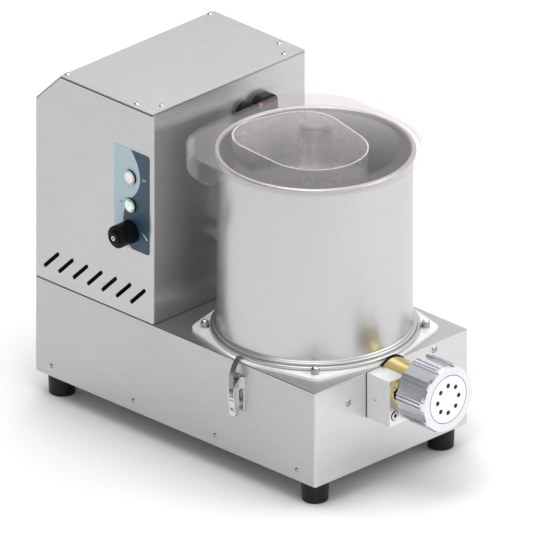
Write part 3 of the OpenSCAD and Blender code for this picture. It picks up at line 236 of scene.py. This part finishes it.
def sheet_steel(name, tone, roughness, metal=0.85, painted_front_light=1.0, painted_gap_shade_height=None):
    """Sheet with a fine level grain. Its front and back can be painted lighter than its sides, as
    painted light that falls more on them, and the tops of its sides can be painted dark above a
    height, as painted shade in the gap under the next piece."""
    material, tree, shader = start_finish(name)
    directions = face_direction(tree)
    sides = noise(tree, place_on_piece(tree, SIDE_GRAIN), detail=1)
    front = noise(tree, place_on_piece(tree, FRONT_GRAIN), detail=1)
    grain = add_node(
        tree, "ShaderNodeMix", {0: directions["Y"], 2: sides, 3: front}
    ).outputs[0]
    cloud = even_noise(tree, fineness=7, detail=2)
    speck = even_noise(tree, fineness=900, detail=1)
    patches = calculate(
        tree,
        "ADD",
        spread_noise(tree, cloud, -0.05, 0.05),
        spread_noise(tree, speck, -0.015, 0.015),
    )
    shade = calculate(tree, "ADD", spread_noise(tree, grain, 0.42, 0.58), patches)
    darkest, lightest = 0.8, 1.2
    side_colour = vary_tone(tree, tone, shade, darkest, lightest)
    # The front and back get a painted lit copy of the sides' colour
    front_lit_colour = vary_tone(
        tree, tone, shade, darkest * painted_front_light, lightest * painted_front_light
    )
    colour = blend_colours(tree, directions["Y"], side_colour, front_lit_colour)
    # Painted shade: the side faces turn dark above the given height, standing in for the shade in
    # the gap under the next piece
    if painted_gap_shade_height:
        above = spread(tree, place_along(tree, "Z"), 0, 1, painted_gap_shade_height - 0.0002, painted_gap_shade_height)
        gap_shade = calculate(tree, "MULTIPLY", directions["X"], above)
        colour = blend_colours(tree, gap_shade, colour, grey(0.06))
    gloss = spread_noise(tree, grain, roughness - 0.02, roughness + 0.02)
    set_inputs(
        tree, shader, {"Base Color": colour, "Roughness": gloss, "Metallic": metal}
    )
    brush_level(tree, shader, amount=0.4)
    raise_bumps(tree, shader, grain, 0.00002, 0.05)
    return material


def turned_metal(name, tone, roughness, axis, centre, metal=1.0, even=0.0, bands=None):
    """Metal turned or polished round an axis, with fine rings along it. Even is the share of
    the rings' contrast that is taken away."""
    material, tree, shader = start_finish(name)
    scale = [14, 14, 14]
    scale["XYZ".index(axis)] = 1400
    rings = noise(tree, place_on_piece(tree, scale, centre), detail=3)
    cloud = even_noise(tree, fineness=30, detail=2)
    reach = 0.2 * (1 - even)
    share = calculate(
        tree,
        "ADD",
        spread_noise(tree, rings, 0.5 - reach, 0.5 + reach),
        spread_noise(tree, cloud, -0.6 * reach, 0.6 * reach),
    )
    gloss = spread_noise(
        tree, cloud, roughness - 0.15 * reach, roughness + 0.25 * reach
    )
    colour = vary_tone(tree, tone, share, 0.86, 1.12)
    set_inputs(
        tree, shader, {"Base Color": colour, "Roughness": gloss, "Metallic": metal}
    )
    if bands:
        darken_bands(tree, shader, axis, centre, bands)
    raise_bumps(tree, shader, rings, 0.00003, 0.4)
    return material


def plain_metal(
    name, tone, roughness, metal=1.0, depth=0.00003, bands=None, painted_side_shade=None
):
    """Metal with an even fine grain, for small pieces."""
    material, tree, shader = start_finish(name)
    speck = even_noise(tree, fineness=900, detail=2)
    cloud = even_noise(tree, fineness=60, detail=2)
    share = calculate(
        tree,
        "ADD",
        spread_noise(tree, speck, 0.25, 0.75),
        spread_noise(tree, cloud, -0.15, 0.15),
    )
    gloss = spread_noise(tree, cloud, roughness - 0.04, roughness + 0.06)
    colour = vary_tone(tree, tone, share, 0.88, 1.1)
    set_inputs(
        tree, shader, {"Base Color": colour, "Roughness": gloss, "Metallic": metal}
    )
    if bands:
        darken_bands(tree, shader, *bands)
    # Painted shade on the faces that look away from an axis, where it is asked for
    if painted_side_shade:
        paint_side_shade(tree, shader, *painted_side_shade)
    raise_bumps(tree, shader, speck, depth, 0.4)
    return material


def moulded(name, tone, roughness, depth=0.00005, shine=0.5, painted_side_shade=None):
    """Plastic, rubber or paint with a fine moulded grain."""
    material, tree, shader = start_finish(name)
    speck = even_noise(tree, fineness=1200, detail=2)
    cloud = even_noise(tree, fineness=45, detail=3)
    share = calculate(
        tree,
        "ADD",
        spread_noise(tree, speck, 0.35, 0.65),
        spread_noise(tree, cloud, -0.25, 0.25),
    )
    gloss = spread_noise(tree, cloud, roughness - 0.05, roughness + 0.07)
    colour = vary_tone(tree, tone, share, 0.82, 1.15, lift=0.002)
    set_inputs(
        tree,
        shader,
        {"Base Color": colour, "Roughness": gloss, "Specular IOR Level": shine},
    )
    # Painted shade on the faces that look away from an axis, where it is asked for
    if painted_side_shade:
        paint_side_shade(tree, shader, *painted_side_shade)
    raise_bumps(tree, shader, speck, depth, 0.5)
    return material


def clear_plastic(name, tint, haze, haze_share, roughness):
    """Thin clear plastic: tinted, a little milky, and glossier where it is seen aslant."""
    material, tree, shader = start_finish(name)
    smear = even_noise(tree, fineness=22, detail=4)
    set_inputs(
        tree,
        shader,
        {
            "Base Color": vary_tone(tree, haze, smear, 0.96, 1.0),
            "Roughness": spread(tree, smear, roughness, roughness + 0.05, 0.35, 0.7),
            "Metallic": 0.5,
        },
    )
    clear = add_node(tree, "ShaderNodeBsdfTransparent", {"Color": (*tint, 1)})
    aslant = add_node(tree, "ShaderNodeLayerWeight", {"Blend": 0.5}).outputs["Facing"]
    gloss = calculate(tree, "MULTIPLY", calculate(tree, "POWER", aslant, 4.0), 0.85)
    milk = spread_noise(tree, smear, haze_share * 0.9, haze_share * 1.1)
    # The gloss and the milk hold back no light on its way to the pieces under the plastic
    path = add_node(tree, "ShaderNodeLightPath").outputs
    passing = calculate(tree, "MAXIMUM", path["Is Shadow Ray"], path["Is Diffuse Ray"])
    share = calculate(
        tree, "MULTIPLY", calculate(tree, "ADD", gloss, milk), spread(tree, passing, 1, 0)
    )
    mix = add_node(
        tree,
        "ShaderNodeMixShader",
        {0: share, 1: clear.outputs[0], 2: shader.outputs[0]},
    )
    output = next(n for n in tree.nodes if n.type == "OUTPUT_MATERIAL")
    set_inputs(tree, output, {"Surface": mix.outputs[0]})
    return material


# Edge of the label's slate field: shares of the way down and of the way across
SLATE_EDGE_SHARES = [
    (0, 0.47),
    (0.07, 0.59),
    (0.16, 0.69),
    (0.28, 0.735),
    (0.38, 0.67),
    (0.48, 0.51),
    (0.57, 0.36),
    (0.7, 0.26),
    (0.82, 0.3),
    (0.93, 0.38),
    (1, 0.52),
]


def printed_label(name):
    """Pale blue film with a slate field whose edge runs in an S."""
    material, tree, shader = start_finish(name)
    down = spread(tree, place_along(tree, "Z"), 1, 0, LABEL_LOW.z, LABEL_HIGH.z)
    across = spread(tree, place_along(tree, "Y"), 1, 0, LABEL_LOW.y, LABEL_HIGH.y)
    curve = add_node(tree, "ShaderNodeFloatCurve", {"Value": down})
    points = curve.mapping.curves[0].points
    points[0].location = SLATE_EDGE_SHARES[0]
    points[1].location = SLATE_EDGE_SHARES[-1]
    for place_on_curve in SLATE_EDGE_SHARES[1:-1]:
        points.new(*place_on_curve)
    curve.mapping.update()
    past_edge = calculate(tree, "SUBTRACT", across, curve.outputs[0])
    slate = spread(tree, past_edge, 0, 1, -0.004, 0.004)
    grain = even_noise(tree, fineness=900, detail=2)
    pale = blend_colours(tree, grain, (0.36, 0.46, 0.52), (0.41, 0.52, 0.58))
    deep = blend_colours(tree, grain, (0.016, 0.05, 0.084), (0.024, 0.064, 0.102))
    set_inputs(
        tree,
        shader,
        {
            "Base Color": blend_colours(tree, slate, pale, deep),
            "Roughness": spread_noise(tree, grain, 0.38, 0.5),
        },
    )
    raise_bumps(tree, shader, grain, 0.00002, 0.4)
    return material


def circuit_board(name):
    """Green board with paler tracks."""
    material, tree, shader = start_finish(name)
    place = place_on_piece(tree, (1, 260, 260), turn=(0, math.radians(90), 0))
    tracks = add_node(
        tree,
        "ShaderNodeTexBrick",
        {
            "Vector": place,
            "Scale": 1.0,
            "Color1": (0.02, 0.14, 0.06, 1),
            "Color2": (0.015, 0.11, 0.05, 1),
            "Mortar": (0.1, 0.3, 0.14, 1),
            "Mortar Size": 0.06,
        },
    ).outputs
    set_inputs(
        tree,
        shader,
        {
            "Base Color": tracks["Color"],
            "Roughness": spread(tree, tracks["Fac"], 0.35, 0.55),
        },
    )
    return material


def lit_ring(name):
    """Green translucent ring that glows a little."""
    material, tree, shader = start_finish(name)
    cloud = even_noise(tree, fineness=400, detail=2)
    colour = blend_colours(tree, cloud, (0.02, 0.36, 0.11), (0.05, 0.5, 0.18))
    set_inputs(
        tree,
        shader,
        {
            "Base Color": colour,
            "Roughness": 0.3,
            "Emission Color": (0.04, 0.5, 0.16, 1),
            "Emission Strength": 0.25,
        },
    )
    return material


# The base's front carries painted light, and the tops of the base's and tower's sides carry
# painted shade
base_steel = sheet_steel(
    "base_steel", grey(0.49), 0.34, painted_front_light=1.26, painted_gap_shade_height=BASE_TOP - 0.0009
)
tower_steel = sheet_steel("tower_steel", grey(0.525), 0.32, painted_gap_shade_height=TOWER_TOP - 0.0014)
# Toned darker than the tower's steel, as painted shade that offsets the light falling on its top
cover_steel = sheet_steel("cover_steel", grey(0.47), 0.44, metal=0.75)
bowl_steel = turned_metal(
    "bowl_steel", (0.555, 0.55, 0.548), 0.32, "Z", BOWL_AXIS, metal=0.92, even=0.75
)
# Nearly white and hardly metal: a painted reflection, standing in for the bright studio that a
# polished plate mirrors
flange_steel = plain_metal("flange_steel", grey(0.99), 0.14, metal=0.1, depth=0.000004)
tub_steel = plain_metal("tub_steel", grey(0.95), 0.24, metal=0.85, depth=0.000002)
# Painted shade on the sides of the domed heads, standing in for their dark reflections
nut_cap_steel = plain_metal(
    "nut_cap_steel", grey(0.84), 0.12, painted_side_shade=("Z", grey(0.36))
)
small_screw_steel = plain_metal("small_screw_steel", (0.4, 0.4, 0.41), 0.16)
# Painted shade, nearly black, on the faces that turn away from the screws' axis
socket_steel = plain_metal(
    "socket_steel", grey(0.62), 0.16, painted_side_shade=("Y", grey(0.03))
)
bracket_steel = plain_metal("bracket_steel", (0.79, 0.79, 0.78), 0.3, metal=0.7)
latch_steel = plain_metal("latch_steel", grey(0.7), 0.24)
strap_steel = plain_metal("strap_steel", (0.29, 0.29, 0.295), 0.3)
chrome = plain_metal("chrome", (0.82, 0.82, 0.83), 0.08)
insert_steel = plain_metal(
    "insert_steel", grey(0.8), 0.14, bands=("X", middle_of("knob_insert"), [(0, 0.0034)])
)
off_chrome = plain_metal(
    "off_chrome",
    (0.62, 0.62, 0.63),
    0.12,
    bands=("X", middle_of("off_bezel"), [(0.0093, 0.001), (0.0071, 0.0008)]),
)
on_chrome = plain_metal(
    "on_chrome", grey(0.7), 0.12, bands=("X", middle_of("on_bezel"), [(0.0093, 0.001)])
)
neck_brass = turned_metal("neck_brass", (0.74, 0.62, 0.28), 0.15, "Y", NUT_AXIS)
# Painted shade on the faces that turn away from the screw's axis
screw_brass = plain_metal(
    "screw_brass", (0.7, 0.56, 0.24), 0.2, painted_side_shade=("Y", (0.05, 0.035, 0.01))
)
nut_steel = turned_metal(
    "nut_steel",
    (0.74, 0.755, 0.79),
    0.22,
    "Y",
    NUT_AXIS,
    metal=0.85,
    even=0.5,
    bands=[(0.0306, 0.0009)],
)
gear_steel = plain_metal("gear_steel", (0.34, 0.34, 0.35), 0.36)
shaft_steel = turned_metal("shaft_steel", (0.6, 0.6, 0.61), 0.22, "Y", NUT_AXIS)
foot_rubber = moulded("foot_rubber", (0.008, 0.008, 0.009), 0.42, shine=0.25)
knob_plastic = moulded("knob_plastic", (0.003, 0.003, 0.0035), 0.36, shine=0.12)
housing_plastic = moulded("housing_plastic", (0.006, 0.006, 0.007), 0.34, shine=0.2)
gasket_rubber = moulded("gasket_rubber", grey(0.006), 0.6, shine=0.1)
# Painted shade on the faces that turn away from the die's axis, such as the walls of its holes
die_plastic = moulded(
    "die_plastic", grey(0.88), 0.32, depth=0.00002, painted_side_shade=("Y", grey(0.16))
)
cap_plastic = moulded("cap_plastic", (0.8, 0.81, 0.82), 0.2, depth=0.00001)
lens_plastic = moulded("lens_plastic", (0.85, 0.02, 0.015), 0.2, depth=0.00001)
frame_paint = moulded("frame_paint", (0.3, 0.31, 0.33), 0.5)
motor_paint = moulded("motor_paint", (0.03, 0.035, 0.045), 0.45)
ink_white = moulded("ink_white", (0.62, 0.66, 0.69), 0.5, depth=0.00001)
ink_slate = moulded("ink_slate", (0.08, 0.12, 0.15), 0.5, depth=0.00001)
lid_plastic = clear_plastic(
    "lid_plastic",
    tint=(0.95, 0.936, 0.942),
    haze=(0.84, 0.82, 0.83),
    haze_share=0.014,
    roughness=0.06,
)
label_film = printed_label("label_film")
board_green = circuit_board("board_green")
ring_green = lit_ring("ring_green")

FINISHES = {
    base_steel: ["base_housing", "bottom_plate"],
    tower_steel: ["tower_shell"],
    cover_steel: ["top_cover"],
    bowl_steel: ["bowl"],
    flange_steel: ["bowl_flange"],
    tub_steel: ["kneading_tub", "trough"],
    nut_cap_steel: ["flange_screws", "cover_screws"],
    small_screw_steel: ["side_screws"],
    socket_steel: ["bracket_screws"],
    bracket_steel: ["head_bracket"],
    latch_steel: [
        "latch_base_left",
        "latch_base_right",
        "latch_lever_left",
        "latch_lever_right",
    ],
    strap_steel: ["latch_hook_left", "latch_hook_right"],
    chrome: ["on_button"],
    insert_steel: ["knob_insert"],
    off_chrome: ["off_bezel"],
    on_chrome: ["on_bezel"],
    neck_brass: ["barrel", "barrel_collar", "auger_bearing"],
    screw_brass: ["collar_screw"],
    nut_steel: ["ring_nut"],
    gear_steel: ["auger_gear", "mixer_gear", "drive_pinion"],
    shaft_steel: ["auger", "auger_shaft", "mixing_arm", "mixer_sleeve"],
    foot_rubber: [
        "foot_front_left",
        "foot_front_right",
        "foot_back_left",
        "foot_back_right",
    ],
    knob_plastic: ["speed_knob"],
    housing_plastic: ["interlock_housing", "speed_control", "cable_gland"],
    gasket_rubber: ["bracket_gasket"],
    die_plastic: ["die_plate"],
    cap_plastic: ["off_button"],
    lens_plastic: ["interlock_lens"],
    frame_paint: ["drive_frame"],
    motor_paint: ["motor"],
    lid_plastic: ["lid", "lid_knob"],
    label_film: ["control_label"],
    board_green: ["control_board"],
    ring_green: ["on_light_ring"],
}
for finish, names in FINISHES.items():
    for name in names:
        piece = nodes[name]
        if not piece.material_slots:
            piece.data.materials.append(finish)
        for slot in piece.material_slots:
            slot.material = finish
finished = {name for names in FINISHES.values() for name in names}
assert finished == set(nodes), sorted(set(nodes) ^ finished)


# Trim on the control label

# Turns a flat mesh upright, so that it reads from the left
UPRIGHT = Matrix(((0, 0, -1, 0), (-1, 0, 0, 0), (0, 1, 0, 0), (0, 0, 0, 1)))

CAPTION_HEIGHT = 0.0026
CAPITAL_SHARE = 0.7
INK_DEPTH = 0.00006
OFF_CAPTION_PLACE = (LABEL_LOW.y + 0.0089, BASE_TOP + 0.1869)
ON_CAPTION_PLACE = (LABEL_HIGH.y - 0.0118, BASE_TOP + 0.1473)

# The tapered mark: where its ends lie from the knob's axis, half its width there, its depth
WEDGE_START = Vector((0.0185, 0.0045, 0))
WEDGE_END = Vector((0.028, -0.0035, 0))
WEDGE_START_HALF = 0.0001
WEDGE_END_HALF = 0.0009
WEDGE_DEPTH = 0.0001

# Ribs round the grip of the speed knob
RIB_COUNT = 30
RIB_REACH = 0.0145
RIB_RISE = 0.0006
RIB_WIDTH = 0.0011
RIB_LENGTH = (KNOB_HIGH.x - KNOB_LOW.x) * 0.42
RIB_MIDDLE = (KNOB_HIGH.x - RIB_LENGTH * 0.62, KNOB_AXIS.y, KNOB_AXIS.z)


def add_object(name, data):
    made = bpy.data.objects.new(name, data)
    bpy.context.scene.collection.objects.link(made)
    return made


def mesh_of(source):
    """The final mesh of an object, which is then removed."""
    bpy.context.view_layer.update()
    mesh = bpy.data.meshes.new_from_object(
        source.evaluated_get(bpy.context.evaluated_depsgraph_get())
    )
    bpy.data.objects.remove(source)
    return mesh


def keep_mesh(name, mesh, material, body):
    """A new object with this mesh, which rides on a body."""
    mesh.materials.clear()
    mesh.materials.append(material)
    piece = add_object(name, mesh)
    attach(piece, body)


def to_label(mesh, y, z, out):
    """Stands a flat mesh up on the label's face, moved out from it by a little."""
    mesh.transform(Matrix.Translation((LABEL_LOW.x - out, y, z)) @ UPRIGHT)


def caption(name, words, place, ink):
    curve = bpy.data.curves.new(name, "FONT")
    curve.body = words
    curve.size = CAPTION_HEIGHT / CAPITAL_SHARE
    curve.align_x = "CENTER"
    curve.align_y = "CENTER"
    curve.extrude = INK_DEPTH
    mesh = mesh_of(add_object(name + "_curve", curve))
    to_label(mesh, *place, INK_DEPTH)
    keep_mesh(name, mesh, ink, "machine")


def speed_wedge():
    """Tapered mark beside the speed knob, for slow to fast."""
    mesh = bpy.data.meshes.new("speed_wedge")
    shape = bmesh.new()
    side = (WEDGE_END - WEDGE_START).cross(Vector((0, 0, 1))).normalized()
    corners = [
        WEDGE_START + side * WEDGE_START_HALF,
        WEDGE_END + side * WEDGE_END_HALF,
        WEDGE_END - side * WEDGE_END_HALF,
        WEDGE_START - side * WEDGE_START_HALF,
    ]
    lower = [shape.verts.new(c) for c in corners]
    upper = [shape.verts.new(c + Vector((0, 0, WEDGE_DEPTH))) for c in corners]
    shape.faces.new(lower)
    shape.faces.new(upper)
    for i in range(4):
        shape.faces.new((lower[i], lower[i - 1], upper[i - 1], upper[i]))
    bmesh.ops.recalc_face_normals(shape, faces=shape.faces)
    shape.to_mesh(mesh)
    shape.free()
    to_label(mesh, KNOB_AXIS.y, KNOB_AXIS.z, WEDGE_DEPTH / 2)
    keep_mesh("speed_wedge", mesh, ink_white, "machine")


def knob_ribs():
    """Fine ribs round the grip of the speed knob, repeated by Geometry Nodes."""
    tree = bpy.data.node_groups.new("ribs_round_grip", "GeometryNodeTree")
    sockets = {
        name: tree.interface.new_socket(name, in_out="INPUT", socket_type=kind)
        for name, kind in (
            ("Count", "NodeSocketInt"),
            ("Reach", "NodeSocketFloat"),
            ("Size", "NodeSocketVector"),
            ("Middle", "NodeSocketVector"),
        )
    }
    tree.interface.new_socket(
        "Geometry", in_out="OUTPUT", socket_type="NodeSocketGeometry"
    )
    given = tree.nodes.new("NodeGroupInput").outputs
    ring = add_node(
        tree,
        "GeometryNodeMeshCircle",
        {"Vertices": given["Count"], "Radius": given["Reach"]},
    )
    rib = add_node(tree, "GeometryNodeMeshCube", {"Size": given["Size"]})
    turn = calculate(
        tree,
        "MULTIPLY",
        tree.nodes.new("GeometryNodeInputIndex").outputs[0],
        calculate(tree, "DIVIDE", math.tau, given["Count"]),
    )
    angles = add_node(tree, "ShaderNodeCombineXYZ", {"Z": turn})
    placed = add_node(
        tree,
        "GeometryNodeInstanceOnPoints",
        {
            "Points": ring.outputs[0],
            "Instance": rib.outputs[0],
            "Rotation": angles.outputs[0],
        },
    )
    solid = add_node(
        tree, "GeometryNodeRealizeInstances", {"Geometry": placed.outputs[0]}
    )
    stood = add_node(
        tree,
        "GeometryNodeTransform",
        {
            "Geometry": solid.outputs[0],
            "Translation": given["Middle"],
            "Rotation": (0, math.radians(90), 0),
        },
    )
    coloured = add_node(
        tree,
        "GeometryNodeSetMaterial",
        {"Geometry": stood.outputs[0], "Material": knob_plastic},
    )
    output = tree.nodes.new("NodeGroupOutput")
    tree.links.new(coloured.outputs[0], output.inputs[0])

    pattern = add_object("rib_pattern", bpy.data.meshes.new("rib_pattern"))
    modifier = pattern.modifiers.new("ribs", "NODES")
    modifier.node_group = tree
    modifier[sockets["Count"].identifier] = RIB_COUNT
    modifier[sockets["Reach"].identifier] = RIB_REACH - RIB_RISE / 2
    modifier[sockets["Size"].identifier] = (RIB_RISE, RIB_WIDTH, RIB_LENGTH)
    modifier[sockets["Middle"].identifier] = RIB_MIDDLE
    keep_mesh(
        "knob_ribs", mesh_of(pattern), knob_plastic, "speed_knob"
    )


caption("caption_off", "OFF", OFF_CAPTION_PLACE, ink_white)
caption("caption_on", "ON", ON_CAPTION_PLACE, ink_slate)
speed_wedge()
knob_ribs()


# Floor, light and camera

# Painted contact shade on the floor: its tone where the machine stands close to it, and how far
# that painted shade reaches
CONTACT_SHADE_TONE = 0.58
CONTACT_SHADE_REACH = 0.16

# Strength of the even light, and the darkest place of what gloss mirrors
DOME_STRENGTH = 0.78
GREY_SIDE = Vector((-0.59, 0.64, 0.5)).normalized()
GREY_SIDE_STRENGTH = 0.22

# How the camera is turned and raised, the point that it looks at, and the width of its view
VIEW_TURN = math.radians(-45)
VIEW_RISE = math.radians(25.1)
VIEW_MIDDLE = Vector((0.0933, 0.0991, 0.1545))
VIEW_WIDTH = 0.6416
VIEW_DISTANCE = 3


def make_floor():
    bpy.ops.mesh.primitive_plane_add(size=12, location=(0, 0, 0))
    floor = bpy.context.object
    floor.name = "floor"
    material, tree, shader = start_finish("floor_white")
    cloud = even_noise(tree, fineness=3, detail=1)
    white = blend_colours(tree, cloud, grey(0.94), grey(0.95))
    # Painted shade: the floor's colour darkens by ambient occlusion where the machine stands close
    # to it
    openness = add_node(
        tree, "ShaderNodeAmbientOcclusion", {"Distance": CONTACT_SHADE_REACH}, samples=16
    ).outputs["AO"]
    share = spread(tree, openness, 0, 1, 0.1, 0.9)
    set_inputs(
        tree,
        shader,
        {
            "Base Color": blend_colours(tree, share, grey(CONTACT_SHADE_TONE), white),
            "Roughness": 0.9,
            "Specular IOR Level": 0.1,
        },
    )
    floor.data.materials.append(material)


def background(tree, strength):
    return add_node(
        tree, "ShaderNodeBackground", {"Color": (1, 1, 1, 1), "Strength": strength}
    ).outputs[0]


def choose(tree, share, first, second):
    """The first light, or the second where the share is 1."""
    return add_node(
        tree, "ShaderNodeMixShader", {0: share, 1: first, 2: second}
    ).outputs[0]


def make_world():
    """Even white light that the camera sees as plain white. Gloss mirrors white with a soft
    grey side, high at the back left."""
    world = bpy.data.worlds.new("studio")
    bpy.context.scene.world = world
    world.use_nodes = True
    tree = world.node_tree
    tree.nodes.clear()
    path = add_node(tree, "ShaderNodeLightPath").outputs
    seen = calculate(
        tree, "MAXIMUM", path["Is Camera Ray"], path["Is Transmission Ray"]
    )
    shown = choose(tree, seen, background(tree, DOME_STRENGTH), background(tree, 1.0))
    towards = add_node(tree, "ShaderNodeTexCoord").outputs["Generated"]
    nearness = add_node(
        tree, "ShaderNodeVectorMath", {0: towards, 1: GREY_SIDE}, operation="DOT_PRODUCT"
    ).outputs["Value"]
    mirrored = background(
        tree, spread(tree, nearness, 1.0, GREY_SIDE_STRENGTH, 0.34, 0.9)
    )
    add_node(
        tree,
        "ShaderNodeOutputWorld",
        {"Surface": choose(tree, path["Is Glossy Ray"], shown, mirrored)},
    )


def area_lamp(name, place, aim, size, power):
    lamp = bpy.data.lights.new(name, "AREA")
    lamp.shape = "SQUARE"
    lamp.size = size
    lamp.energy = power
    holder = add_object(name, lamp)
    holder.location = place
    direction = Vector(aim) - Vector(place)
    holder.rotation_mode = "QUATERNION"
    holder.rotation_quaternion = direction.to_track_quat("-Z", "Y")


def make_camera():
    """A parallel view of the front left corner, from a little above."""
    back = Vector(
        (
            math.sin(VIEW_TURN) * math.cos(VIEW_RISE),
            -math.cos(VIEW_TURN) * math.cos(VIEW_RISE),
            math.sin(VIEW_RISE),
        )
    )
    view = bpy.data.cameras.new("camera")
    view.type = "ORTHO"
    view.ortho_scale = VIEW_WIDTH
    view.clip_start = 0.05
    view.clip_end = 20
    camera = add_object("camera", view)
    camera.rotation_mode = "QUATERNION"
    camera.rotation_quaternion = (-back).to_track_quat("-Z", "Y")
    camera.location = VIEW_MIDDLE + back * VIEW_DISTANCE
    bpy.context.scene.camera = camera


make_floor()
make_world()
area_lamp("soft_front", place=(1.3, -2.0, 1.6), aim=(0, 0, 0.2), size=1.8, power=22)
area_lamp("soft_top", place=(-0.5, -0.1, 2.6), aim=(0, 0, 0.2), size=1.6, power=24)
area_lamp("soft_back", place=(0.8, 0.9, 2.0), aim=(0, 0, 0.3), size=0.9, power=6)
make_camera()
bpy.context.scene.view_settings.view_transform = "Standard"
